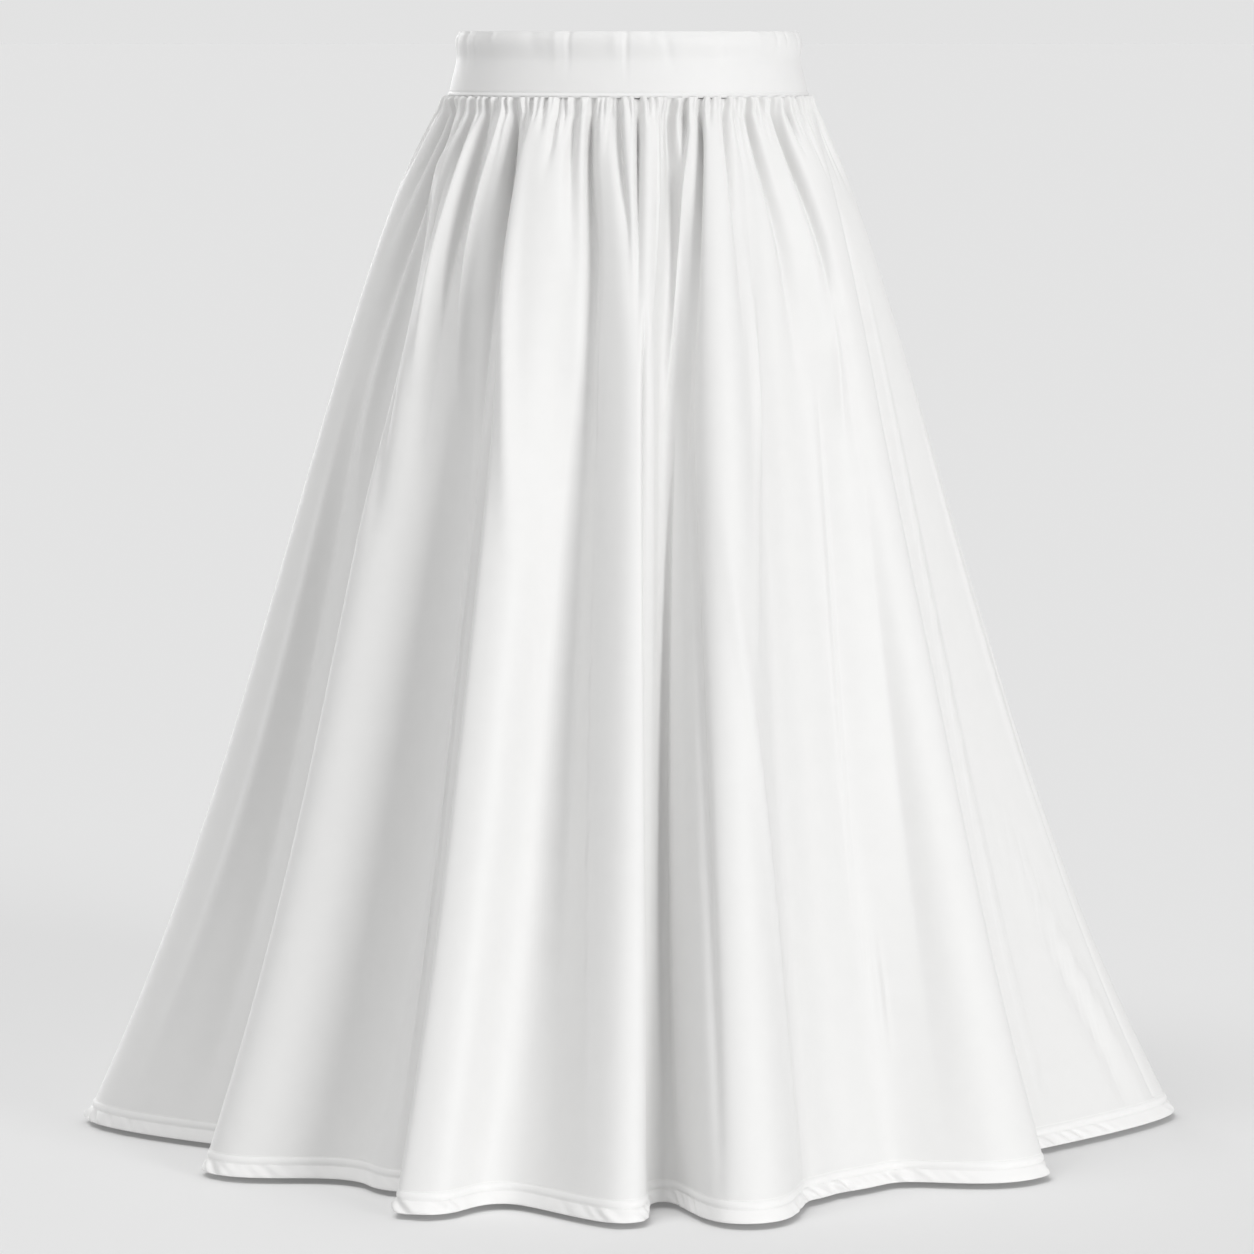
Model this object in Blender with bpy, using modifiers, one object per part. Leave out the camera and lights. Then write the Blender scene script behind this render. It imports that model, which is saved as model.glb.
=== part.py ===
"""A maxi skirt in white jersey: an elastic waistband over a gathered front and back panel.

Metres, +Z up. The origin is the middle of the waistband's top edge, X runs to the right of
someone who looks at the front, and the front faces -Y. A bearing is a place round the skirt
in degrees: 0 at the middle of the front, 90 at the right side, 180 at the middle of the back.
A drop is a distance straight down from the waistband's top edge.
"""

import random
from collections import namedtuple

import bmesh
import bpy
import numpy as np

# Driving sizes of the garment
LENGTH = 0.960
BAND_HEIGHT = 0.0567
SEAM_GAP = 0.0003
SEAM_HALF_WIDTH = 0.1595
SEAM_HALF_DEPTH = 0.1170
PANEL_WALL = 0.0016
HEM_WALL = 0.0024
BAND_WALL = 0.0026
BAND_EDGE = 0.0020
HEM_DEPTH = 0.0190
HEM_STEP = 0.0010
PANEL_TOP = BAND_HEIGHT + SEAM_GAP

# How the outline widens between the waist seam and the hem, seen from the front
Outline = namedtuple("Outline", "drop half_width")
OUTLINE = (
    Outline(0.057, 0.1595),
    Outline(0.070, 0.1680),
    Outline(0.087, 0.1760),
    Outline(0.114, 0.1885),
    Outline(0.150, 0.2025),
    Outline(0.194, 0.2180),
    Outline(0.239, 0.2325),
    Outline(0.328, 0.2595),
    Outline(0.505, 0.3115),
    Outline(0.683, 0.3670),
    Outline(0.772, 0.3990),
    Outline(0.861, 0.4350),
    Outline(0.960, 0.4800),
)

# The waistband from its top edge down to its seam
BandSection = namedtuple("BandSection", "drop half_width half_depth")
BAND_SECTIONS = (
    BandSection(0.0000, 0.1470, 0.1066),
    BandSection(BAND_EDGE, 0.1485, 0.1080),
    BandSection(0.0260, 0.1505, 0.1100),
    BandSection(0.0430, 0.1545, 0.1135),
    BandSection(BAND_HEIGHT - BAND_EDGE, 0.1573, 0.1160),
    BandSection(BAND_HEIGHT, 0.1573, 0.1160),
)

# The large folds: where each crest, and the hollow after it, starts at the waist and meets
# the hem. Reach is the hem's distance from the middle, breadth is how far the hem runs
# round there, and rise is under 1 for a fold that is already deep near the waist.
Fold = namedtuple(
    "Fold",
    "crest_at_waist crest_at_hem crest_reach crest_breadth "
    "hollow_at_waist hollow_at_hem hollow_reach hollow_breadth rise",
)
FOLDS = (
    Fold(-90.0, -87.5, 0.483, 0.150, -69.0, -60.5, 0.350, 0.045, 0.86),
    Fold(-60.5, -55.5, 0.437, 0.130, -44.0, -38.5, 0.366, 0.100, 0.85),
    Fold(-38.0, -31.5, 0.379, 0.060, -34.0, -25.5, 0.362, 0.020, 0.85),
    Fold(-28.0, -25.2, 0.448, 0.130, -6.5, -14.2, 0.384, 0.100, 0.85),
    Fold(0.0, -1.2, 0.443, 0.100, 16.5, 4.6, 0.364, 0.085, 0.60),
    Fold(27.0, 13.0, 0.457, 0.150, 36.5, 23.5, 0.386, 0.045, 0.70),
    Fold(40.0, 29.0, 0.372, 0.050, 46.0, 36.5, 0.366, 0.070, 0.70),
    Fold(71.0, 53.0, 0.441, 0.150, 80.0, 60.0, 0.375, 0.040, 0.85),
    Fold(92.0, 90.5, 0.488, 0.160, 105.0, 103.0, 0.398, 0.070, 1.16),
    Fold(116.0, 117.5, 0.448, 0.130, 127.0, 126.0, 0.352, 0.055, 0.90),
    Fold(139.0, 141.0, 0.442, 0.150, 153.0, 151.0, 0.366, 0.080, 0.80),
    Fold(164.0, 162.0, 0.447, 0.120, 174.0, 176.0, 0.350, 0.050, 0.70),
    Fold(-176.0, -176.5, 0.440, 0.110, -164.0, -163.0, 0.371, 0.090, 0.90),
    Fold(-152.0, -151.0, 0.450, 0.140, -139.0, -139.5, 0.354, 0.050, 0.80),
    Fold(-130.0, -130.0, 0.445, 0.130, -119.0, -117.5, 0.372, 0.080, 0.90),
    Fold(-109.0, -109.5, 0.446, 0.110, -101.0, -100.0, 0.392, 0.050, 1.00),
)

# The gathers on the front, each a hollow that runs down from the waist seam. Drift is how
# far round it has moved, in degrees, once it is a hand's length down.
Gather = namedtuple("Gather", "bearing drift depth length")
FRONT_GATHERS = (
    Gather(-82.0, -1.0, 0.0036, 0.070),
    Gather(-73.0, -3.5, 0.0046, 0.300),
    Gather(-66.5, -3.5, 0.0030, 0.045),
    Gather(-61.0, -3.5, 0.0046, 0.090),
    Gather(-53.2, -3.5, 0.0052, 0.200),
    Gather(-47.5, -3.5, 0.0036, 0.050),
    Gather(-42.8, -3.8, 0.0044, 0.220),
    Gather(-37.6, -1.0, 0.0050, 0.270),
    Gather(-33.4, -0.5, 0.0046, 0.090),
    Gather(-29.5, 0.0, 0.0030, 0.035),
    Gather(-25.6, 0.0, 0.0042, 0.055),
    Gather(-21.2, 0.0, 0.0050, 0.120),
    Gather(-15.4, 4.0, 0.0054, 0.170),
    Gather(-9.6, 4.0, 0.0058, 0.320),
    Gather(-6.2, 3.0, 0.0028, 0.030),
    Gather(-2.6, 2.4, 0.0054, 0.210),
    Gather(1.6, 0.0, 0.0056, 0.150),
    Gather(6.5, 1.5, 0.0034, 0.050),
    Gather(13.2, 1.4, 0.0056, 0.220),
    Gather(17.8, 0.0, 0.0050, 0.055),
    Gather(22.4, -1.8, 0.0060, 0.280),
    Gather(25.8, 0.0, 0.0040, 0.055),
    Gather(29.8, 1.2, 0.0046, 0.210),
    Gather(34.6, 4.0, 0.0034, 0.040),
    Gather(38.8, 6.5, 0.0050, 0.240),
    Gather(43.4, 8.0, 0.0030, 0.060),
    Gather(51.0, 11.0, 0.0046, 0.260),
    Gather(56.2, 11.5, 0.0044, 0.055),
    Gather(63.0, 12.0, 0.0034, 0.035),
    Gather(70.6, 12.0, 0.0044, 0.250),
    Gather(80.5, 6.0, 0.0036, 0.090),
)

# The gathers on the back are spread by chance between these limits, every third one long
BACK_GATHERS = 31
BACK_SEED = 11
BACK_MARGIN = 6.0
BACK_SPACING = (0.75, 1.30)
BACK_DRIFT = (-2.5, 2.5)
LONG_BACK_GATHER_EVERY = 3
LONG_BACK_DEPTH = (0.0044, 0.0058)
LONG_BACK_LENGTH = (0.170, 0.300)
SHORT_BACK_DEPTH = (0.0030, 0.0048)
SHORT_BACK_LENGTH = (0.035, 0.120)

# How a gather opens out below the seam: breadths are in degrees, drops in metres
DRIFT_DROP = 0.150
GATHER_HALF_BREADTH = 1.15
GATHER_WIDENING = 9.0
FULLY_WIDENING_LENGTH = 0.167
GATHER_FILL_OUT = 0.012
DEPTH_AT_SEAM = 0.55

# How finely the cloth is cut into flat faces
GATHER_ROWS = (0.000, 0.010, 0.024, 0.046, 0.078, 0.120)
FOLD_ROWS = (0.180, 0.270, 0.380, 0.500, 0.620, 0.730, 0.820)
FOLD_COLUMNS = 62
BEND_WEIGHT = 0.030
SEAM_MARGIN = 0.0020
LEAST_COLUMN_STEP = 0.40
LEAST_SEAM_STEP = 1.60
BAND_SEGMENTS = 88

# How the hem line is sampled and how softly the jersey bends
SAMPLES = 2880
JERSEY_SOFTNESS = 0.7
RING_SOFTNESS = 22.0
RISE_SOFTNESS = 4.0
DRIFT_SOFTNESS = 2.5

FULL_TURN = 360.0
HALF_TURN = 180.0
QUARTER_TURN = 90.0
SMALL_ANGLE = 0.05
TINY = 1e-6

Column = namedtuple("Column", "bearing gather_end serves_folds")

Finish = namedtuple("Finish", "colour roughness")
FINISHES = {
    "waistband": Finish((0.88, 0.88, 0.87), 0.55),
    "front_panel": Finish((0.90, 0.90, 0.89), 0.58),
    "back_panel": Finish((0.89, 0.89, 0.88), 0.58),
}


def clear_scene():
    """Take away whatever the file already holds."""
    for thing in list(bpy.data.objects):
        bpy.data.objects.remove(thing, do_unlink=True)


def hermite(places, knots, values, slopes):
    """The smooth curve that passes each knot with the value and slope given there."""
    last = len(knots) - 2
    segment = np.clip(np.searchsorted(knots, places, side="right") - 1, 0, last)
    step = knots[segment + 1] - knots[segment]
    part = (places - knots[segment]) / step
    if values.ndim > 1:
        step = step[:, None]
        part = part[:, None]
    squared = part * part
    cubed = squared * part
    return (
        (2 * cubed - 3 * squared + 1) * values[segment]
        + (cubed - 2 * squared + part) * step * slopes[segment]
        + (3 * squared - 2 * cubed) * values[segment + 1]
        + (cubed - squared) * step * slopes[segment + 1]
    )


def closed(rows):
    """The rows with the first one again at the end, a full turn on."""
    again = rows[:1].copy()
    again[:, 0] += FULL_TURN
    return np.vstack([rows, again])


def softened(values, spread):
    """Values round the skirt, each averaged with its neighbours within about the spread."""
    count = len(values)
    steps = np.arange(count)
    degrees = np.minimum(steps, count - steps) * FULL_TURN / count
    weights = np.exp(-0.5 * (degrees / spread) ** 2)
    weights /= weights.sum()
    mixed = np.fft.fft(values, axis=0) * np.fft.fft(weights)[:, None]
    return np.real(np.fft.ifft(mixed, axis=0))


def fold_turns():
    """One row for each crest and each hollow, in order round the waist."""
    rows = []
    for fold in FOLDS:
        rows.append(
            (fold.crest_at_waist, fold.crest_at_hem, fold.crest_reach, fold.crest_breadth, fold.rise)
        )
        rows.append(
            (fold.hollow_at_waist, fold.hollow_at_hem, fold.hollow_reach, fold.hollow_breadth, fold.rise)
        )
    rows.sort()
    return np.array(rows)


def gathers():
    """Every gather of the skirt: the front's from its table, the back's by chance, in order."""
    chance = random.Random(BACK_SEED)
    steps = [chance.uniform(*BACK_SPACING) for _ in range(BACK_GATHERS)]
    scale = (HALF_TURN - 2 * BACK_MARGIN) / sum(steps)
    bearing = QUARTER_TURN + BACK_MARGIN
    back = []
    for index, step in enumerate(steps):
        middle = bearing + 0.5 * step * scale
        bearing += step * scale
        is_long = index % LONG_BACK_GATHER_EVERY == 0
        depth = chance.uniform(*(LONG_BACK_DEPTH if is_long else SHORT_BACK_DEPTH))
        length = chance.uniform(*(LONG_BACK_LENGTH if is_long else SHORT_BACK_LENGTH))
        drift = chance.uniform(*BACK_DRIFT)
        if middle > HALF_TURN:
            middle -= FULL_TURN
        back.append(Gather(middle, drift, depth, length))
    return sorted(list(FRONT_GATHERS) + back)


def round_table(places, values, spread):
    """Values given at some bearings, filled in and softened all round the skirt."""
    order = np.argsort(places)
    known = np.asarray(places, float)[order]
    amounts = np.asarray(values, float)[order]
    known = np.concatenate([known - FULL_TURN, known, known + FULL_TURN])
    filled = np.interp(BEARINGS, known, np.tile(amounts, 3))
    return softened(filled[:, None], spread)


def hem_line():
    """The line of the hem on the floor, seen from above, for each sampled bearing."""
    rows = fold_turns()
    knots = rows[:, 0]
    at_hem = np.radians(rows[:, 1])
    outward = np.column_stack([np.sin(at_hem), -np.cos(at_hem)])
    along = np.column_stack([np.cos(at_hem), np.sin(at_hem)])
    before = (knots - np.roll(knots, 1)) % FULL_TURN
    after = (np.roll(knots, -1) - knots) % FULL_TURN
    slopes = along * (rows[:, 3] / (0.5 * (before + after)))[:, None]
    table = closed(np.column_stack([knots, outward * rows[:, 2:3], slopes]))
    places = (BEARINGS - knots[0]) % FULL_TURN + knots[0]
    line = hermite(places, table[:, 0], table[:, 1:3], table[:, 3:5])
    return softened(line, JERSEY_SOFTNESS)


BEARINGS = np.arange(SAMPLES) * FULL_TURN / SAMPLES - HALF_TURN
GATHERS = gathers()
HEM_LINE = hem_line()
HEM_RING = softened(HEM_LINE, RING_SOFTNESS)
FOLD_RISE = round_table(fold_turns()[:, 0], fold_turns()[:, 4], RISE_SOFTNESS)
GATHER_DRIFT = round_table(
    [gather.bearing for gather in GATHERS], [gather.drift for gather in GATHERS], DRIFT_SOFTNESS
)


def read_round(table, bearings):
    """The values of a sampled table at any bearings."""
    places = ((bearings + HALF_TURN) % FULL_TURN) * SAMPLES / FULL_TURN
    lower = np.floor(places).astype(int) % SAMPLES
    part = (places - np.floor(places))[:, None]
    return table[lower] * (1 - part) + table[(lower + 1) % SAMPLES] * part


def smooth_step(part):
    """0 below 0, 1 above 1, and an even ease between."""
    held = np.clip(part, 0.0, 1.0)
    return held * held * (3 - 2 * held)


def widening(drops):
    """How far the cloth has opened from the waist seam, 0, to the hem, 1."""
    known = np.array([row.drop for row in OUTLINE])
    widths = np.array([row.half_width for row in OUTLINE])
    width = hermite(drops, known, widths, np.gradient(widths, known))
    return np.clip((width - widths[0]) / (widths[-1] - widths[0]), 0.0, 1.0)


def gather_depth(bearings, drops):
    """How far the gathers draw the cloth in."""
    below = np.maximum(drops - PANEL_TOP, 0.0)
    filling = DEPTH_AT_SEAM + (1 - DEPTH_AT_SEAM) * smooth_step(below / GATHER_FILL_OUT)
    total = np.zeros(len(bearings))
    for gather in GATHERS:
        apart = (bearings - gather.bearing + HALF_TURN) % FULL_TURN - HALF_TURN
        widening_rate = GATHER_WIDENING * min(1.0, gather.length / FULLY_WIDENING_LENGTH)
        breadth = GATHER_HALF_BREADTH * (1 + widening_rate * below)
        fading = 1 - smooth_step(below / gather.length)
        total += gather.depth * fading * np.exp(-0.5 * (apart / breadth) ** 2)
    return total * filling


def cloth_points(bearings, drops):
    """Points on the outer face of the panels, one for each bearing and drop."""
    opened = widening(drops)[:, None]
    drifting = smooth_step((drops - PANEL_TOP) / DRIFT_DROP) * (1 - opened[:, 0]) ** 2
    placed = bearings + read_round(GATHER_DRIFT, bearings)[:, 0] * drifting
    angles = np.radians(placed)
    waist = np.column_stack([SEAM_HALF_WIDTH * np.sin(angles), -SEAM_HALF_DEPTH * np.cos(angles)])
    ring = read_round(HEM_RING, placed)
    folded = read_round(HEM_LINE, placed) - ring
    growth = np.maximum(opened, TINY) ** read_round(FOLD_RISE, placed)
    outward = np.column_stack([SEAM_HALF_DEPTH * np.sin(angles), -SEAM_HALF_WIDTH * np.cos(angles)])
    outward /= np.linalg.norm(outward, axis=1)[:, None]
    plan = waist * (1 - opened) + ring * opened + folded * growth
    plan -= outward * gather_depth(bearings, drops)[:, None]
    return np.column_stack([plan, -drops])


def onward(bearing, first):
    """The same bearing, counted on from the first one."""
    return (bearing - first) % FULL_TURN + first


def gather_columns(first, last):
    """The columns that serve the gathers: one in each hollow and one on the crest between."""
    hollows = sorted((onward(gather.bearing, first), gather.length) for gather in GATHERS)
    hollows = [hollow for hollow in hollows if hollow[0] < last]
    columns = [
        Column(bearing, PANEL_TOP + max(length, GATHER_ROWS[-1]), False)
        for bearing, length in hollows
    ]
    for (left, left_length), (right, right_length) in zip(hollows, hollows[1:]):
        columns.append(
            Column(0.5 * (left + right), PANEL_TOP + max(left_length, right_length), False)
        )
    return sorted(columns)


def fold_bearings(first, last):
    """Bearings that follow the large folds, closest where the hem line bends most."""
    places = np.linspace(first, last, SAMPLES)
    steps = np.diff(read_round(HEM_LINE, places), axis=0)
    headings = np.unwrap(np.arctan2(steps[:, 1], steps[:, 0]))
    bends = np.abs(np.diff(headings, prepend=headings[0]))
    lengths = np.hypot(steps[:, 0], steps[:, 1]) + BEND_WEIGHT * bends
    run = np.concatenate([[0.0], np.cumsum(lengths)])
    return np.interp(np.linspace(0.0, run[-1], FOLD_COLUMNS + 1), run, places)


def panel_columns(first, last):
    """Every column of a panel from one side seam to the other."""
    columns = gather_columns(first, last)
    for bearing in fold_bearings(first, last)[1:-1]:
        nearest = min(range(len(columns)), key=lambda index: abs(columns[index].bearing - bearing))
        if abs(columns[nearest].bearing - bearing) < LEAST_COLUMN_STEP:
            columns[nearest] = columns[nearest]._replace(serves_folds=True)
        else:
            columns.append(Column(float(bearing), 0.0, True))
    inside = [
        column
        for column in columns
        if first + LEAST_SEAM_STEP < column.bearing < last - LEAST_SEAM_STEP
    ]
    edges = [Column(bearing, LENGTH, True) for bearing in (first, first, last, last)]
    return sorted(inside + edges)


def panel_rows():
    """The drop of every row of a panel, from the waist seam to the hem's edge."""
    rows = [PANEL_TOP + below for below in GATHER_ROWS + FOLD_ROWS]
    rows += [LENGTH - HEM_DEPTH - HEM_STEP, LENGTH - HEM_DEPTH, LENGTH]
    return np.array(rows)


def beside_seam(seam, drops, distance):
    """Bearings that lie a distance to one side of a side seam, at each drop."""
    places = np.full(len(drops), seam)
    moved = cloth_points(places + SMALL_ANGLE, drops) - cloth_points(places, drops)
    per_degree = np.linalg.norm(moved, axis=1) / SMALL_ANGLE
    return places + distance / per_degree


def kept_edge(column, drop, gather_end):
    """Whether a column still has an edge at this drop."""
    if drop < column.gather_end:
        return True
    return column.serves_folds and drop >= gather_end


def panel_mesh(name, first, last):
    """One panel of cloth as an open sheet, with the group that sets its wall."""
    columns = panel_columns(first, last)
    drops = panel_rows()
    bearings = np.tile([column.bearing for column in columns], (len(drops), 1))
    half_gap = 0.5 * SEAM_GAP
    for index, distance in enumerate((half_gap, half_gap + SEAM_MARGIN)):
        bearings[:, index] = beside_seam(first, drops, distance)
        bearings[:, -1 - index] = beside_seam(last, drops, -distance)
    points = cloth_points(bearings.ravel(), np.repeat(drops, len(columns)))
    points = points.reshape(len(drops), len(columns), 3)
    sheet = bmesh.new()
    across = len(columns) - 1
    down = len(drops) - 1
    bmesh.ops.create_grid(sheet, x_segments=across, y_segments=down, size=0.5)
    wall = sheet.verts.layers.deform.verify()
    places = {}
    for vertex in sheet.verts:
        column = round((vertex.co.x + 0.5) * across)
        row = round((0.5 - vertex.co.y) * down)
        places[vertex] = (row, column)
        is_hem = drops[row] > LENGTH - HEM_DEPTH - 0.5 * HEM_STEP
        vertex[wall][0] = 1.0 if is_hem else PANEL_WALL / HEM_WALL
        vertex.co = points[row, column]
    gather_end = PANEL_TOP + GATHER_ROWS[-1]
    spare = []
    for edge in sheet.edges:
        (row, column), (other_row, other_column) = (places[vertex] for vertex in edge.verts)
        upper = drops[min(row, other_row)] + TINY
        if column == other_column and not kept_edge(columns[column], upper, gather_end):
            spare.append(edge)
    bmesh.ops.dissolve_edges(sheet, edges=spare, use_verts=True)
    bmesh.ops.triangulate(sheet, faces=sheet.faces, quad_method="SHORT_EDGE", ngon_method="BEAUTY")
    mesh = bpy.data.meshes.new(name)
    sheet.to_mesh(mesh)
    sheet.free()
    return mesh


def band_mesh(name):
    """The waistband as an open tube, drawn down from its top edge."""
    tube = bmesh.new()
    bmesh.ops.create_circle(tube, segments=BAND_SEGMENTS, radius=1.0)
    rings = [list(tube.verts)]
    edges = list(tube.edges)
    for _ in BAND_SECTIONS[1:]:
        made = bmesh.ops.extrude_edge_only(tube, edges=edges)["geom"]
        edges = [item for item in made if isinstance(item, bmesh.types.BMEdge)]
        ring = [item for item in made if isinstance(item, bmesh.types.BMVert)]
        edges = [edge for edge in edges if all(vertex in ring for vertex in edge.verts)]
        rings.append(ring)
    for section, ring in zip(BAND_SECTIONS, rings):
        for vertex in ring:
            vertex.co.x *= section.half_width
            vertex.co.y *= section.half_depth
            vertex.co.z = -section.drop
    bmesh.ops.recalc_face_normals(tube, faces=tube.faces)
    mesh = bpy.data.meshes.new(name)
    tube.to_mesh(mesh)
    tube.free()
    return mesh


def finish_material(name):
    """The material of one piece."""
    finish = FINISHES[name]
    material = bpy.data.materials.new(name + "_jersey")
    material.use_nodes = True
    shader = material.node_tree.nodes["Principled BSDF"]
    shader.inputs["Base Color"].default_value = (*finish.colour, 1.0)
    shader.inputs["Roughness"].default_value = finish.roughness
    shader.inputs["Metallic"].default_value = 0.0
    return material


def add_piece(mesh, collection, wall):
    """An object of cloth whose wall goes inwards from its outer face."""
    piece = bpy.data.objects.new(mesh.name, mesh)
    collection.objects.link(piece)
    mesh.materials.append(finish_material(mesh.name))
    mesh.shade_smooth()
    thickness = piece.modifiers.new("wall", "SOLIDIFY")
    thickness.thickness = wall
    thickness.offset = -1.0
    thickness.use_even_offset = False
    return piece


def main():
    """Build the skirt's three pieces in their own collection."""
    clear_scene()
    collection = bpy.data.collections.new("maxi_skirt")
    bpy.context.scene.collection.children.link(collection)
    add_piece(band_mesh("waistband"), collection, BAND_WALL)
    for name, first in (("front_panel", -QUARTER_TURN), ("back_panel", QUARTER_TURN)):
        panel = add_piece(panel_mesh(name, first, first + HALF_TURN), collection, HEM_WALL)
        panel.vertex_groups.new(name="wall")
        panel.modifiers["wall"].vertex_group = "wall"


main()
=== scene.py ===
"""Dresses the maxi skirt: white stretch jersey, gathered into an elastic waistband.

Metres, +Z up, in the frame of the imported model. The origin is the middle of the waistband's top
edge, the front faces -Y and +X is at the right of someone who looks at the front. A bearing is a
place round the skirt in degrees, 0 at the middle of the front and 90 at the right side seam. A
drop is a distance straight down from the waistband's top edge.
"""

import logging
import math
import random
from dataclasses import dataclass
from enum import Enum
from typing import Iterator, NamedTuple, Sequence

import bmesh
import bpy
import numpy as np
from mathutils import Matrix, Vector


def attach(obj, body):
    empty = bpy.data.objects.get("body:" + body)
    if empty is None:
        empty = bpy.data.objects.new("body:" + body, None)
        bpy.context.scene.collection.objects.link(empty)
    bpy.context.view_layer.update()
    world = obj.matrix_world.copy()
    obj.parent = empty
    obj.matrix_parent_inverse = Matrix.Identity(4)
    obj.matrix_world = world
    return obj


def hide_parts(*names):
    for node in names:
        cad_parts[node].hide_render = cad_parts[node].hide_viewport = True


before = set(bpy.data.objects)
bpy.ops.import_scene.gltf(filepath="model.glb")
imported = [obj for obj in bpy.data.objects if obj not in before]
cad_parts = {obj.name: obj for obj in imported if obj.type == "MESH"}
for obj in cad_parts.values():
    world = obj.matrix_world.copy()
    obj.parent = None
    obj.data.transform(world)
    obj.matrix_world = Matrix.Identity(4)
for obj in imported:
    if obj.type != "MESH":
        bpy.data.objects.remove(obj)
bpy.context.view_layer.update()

LOG = logging.getLogger("maxi_skirt")

FULL_TURN = 360.0
HALF_TURN = 180.0
QUARTER_TURN = 90.0
MM = 0.001
TINY = 1e-6
WHITE = (1.0, 1.0, 1.0, 1.0)

Array = np.ndarray
Object = bpy.types.Object
Material = bpy.types.Material
Span = tuple[float, float]
Colour = tuple[float, float, float]

# The jersey's colours. The hem's is lighter: partly painted light, for the light its upturned flare
# catches, and partly its doubled cloth, which lets less light through.
PANEL_COLOUR = (0.73, 0.728, 0.722)
HEM_COLOUR_WITH_PAINTED_LIGHT = (0.785, 0.783, 0.777)
BAND_COLOUR = (0.73, 0.728, 0.724)

# The cut of the cloth that shows: its width at its widest, and its length
FRONT_CUT = (1.80, 0.965)
BACK_CUT = (1.98, 0.965)

# The UV map in metres along the cloth, and how far apart a wave texture's bands are at scale 1
CLOTH_MAP = "cloth"
WAVE_BAND = 0.314

# Edges sharper than these angles are crisp rims
PANEL_RIM_ANGLE = 70.0
HEM_RIM_ANGLE = 60.0
BAND_RIM_ANGLE = 75.0

# What is placed by chance has two troughs for each ridge, and waves that start within a span
CREASE_SIGNS = (-1, -1, 1)
WAVE_PHASES = (0.0, 6.0)


class Side(Enum):
    """A panel of the skirt, with the bearing of the side seam that it starts at."""

    FRONT = -QUARTER_TURN
    BACK = QUARTER_TURN


class Outline(NamedTuple):
    """Half the skirt's width, seen from the front, at one drop."""

    drop: float
    half_width: float


class Fold(NamedTuple):
    """A large fold's crest and the hollow after it, at the waist and at the hem."""

    crest_at_waist: float
    crest_at_hem: float
    crest_reach: float
    crest_breadth: float
    hollow_at_waist: float
    hollow_at_hem: float
    hollow_reach: float
    hollow_breadth: float
    rise: float


class Crease(NamedTuple):
    """A soft ridge, or a trough where the height is negative, along a line on the cloth.

    One that starts above the panel's top edge is a gather: it runs out of the waist seam.
    """

    top_bearing: float
    middle_bearing: float
    low_bearing: float
    top_drop: float
    low_drop: float
    height: float
    top_breadth: float
    low_breadth: float


class BandWrinkle(NamedTuple):
    """A soft upright wrinkle of the waistband, between two drops."""

    top_bearing: float
    low_bearing: float
    top_drop: float
    low_drop: float
    height: float
    breadth: float


class BandSection(NamedTuple):
    """The waistband's outer face at one drop."""

    drop: float
    half_width: float
    half_depth: float


OUTLINE = (
    Outline(0.057, 0.1595),
    Outline(0.070, 0.1680),
    Outline(0.087, 0.1760),
    Outline(0.114, 0.1885),
    Outline(0.150, 0.2025),
    Outline(0.194, 0.2180),
    Outline(0.239, 0.2325),
    Outline(0.328, 0.2595),
    Outline(0.505, 0.3115),
    Outline(0.683, 0.3670),
    Outline(0.772, 0.3990),
    Outline(0.861, 0.4350),
    Outline(0.960, 0.4800),
)

FOLDS = (
    Fold(-90.0, -87.5, 0.483, 0.150, -69.0, -60.5, 0.350, 0.045, 0.86),
    Fold(-60.5, -55.5, 0.437, 0.130, -44.0, -38.5, 0.366, 0.100, 0.85),
    Fold(-38.0, -31.5, 0.379, 0.060, -34.0, -25.5, 0.362, 0.020, 0.85),
    Fold(-28.0, -25.2, 0.448, 0.130, -6.5, -14.2, 0.384, 0.100, 0.85),
    Fold(0.0, -1.2, 0.443, 0.100, 16.5, 4.6, 0.364, 0.085, 0.60),
    Fold(27.0, 13.0, 0.457, 0.150, 36.5, 23.5, 0.386, 0.045, 0.70),
    Fold(40.0, 29.0, 0.372, 0.050, 46.0, 36.5, 0.366, 0.070, 0.70),
    Fold(71.0, 53.0, 0.441, 0.150, 80.0, 60.0, 0.375, 0.040, 0.85),
    Fold(92.0, 90.5, 0.488, 0.160, 105.0, 103.0, 0.398, 0.070, 1.16),
    Fold(116.0, 117.5, 0.448, 0.130, 127.0, 126.0, 0.352, 0.055, 0.90),
    Fold(139.0, 141.0, 0.442, 0.150, 153.0, 151.0, 0.366, 0.080, 0.80),
    Fold(164.0, 162.0, 0.447, 0.120, 174.0, 176.0, 0.350, 0.050, 0.70),
    Fold(-176.0, -176.5, 0.440, 0.110, -164.0, -163.0, 0.371, 0.090, 0.90),
    Fold(-152.0, -151.0, 0.450, 0.140, -139.0, -139.5, 0.354, 0.050, 0.80),
    Fold(-130.0, -130.0, 0.445, 0.130, -119.0, -117.5, 0.372, 0.080, 0.90),
    Fold(-109.0, -109.5, 0.446, 0.110, -101.0, -100.0, 0.392, 0.050, 1.00),
)

# How far the cloth below a place in the waist seam has moved round: bearing, drift, in degrees
DRIFTS = (
    (-100, 0), (-82, -1), (-73, -3.5), (-47.5, -3.5), (-42.8, -3.8), (-37.6, -1), (-33.4, -0.5),
    (-29.5, 0), (-21.2, 0), (-15.4, 4), (-9.6, 4), (-2.6, 2.4), (1.6, 0), (6.5, 1.5), (13.2, 1.4),
    (17.8, 0), (22.4, -1.8), (25.8, 0), (29.8, 1.2), (34.6, 4), (38.8, 6.5), (43.4, 8), (51, 11),
    (70.6, 12), (80.5, 6), (100, 0),
)

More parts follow.
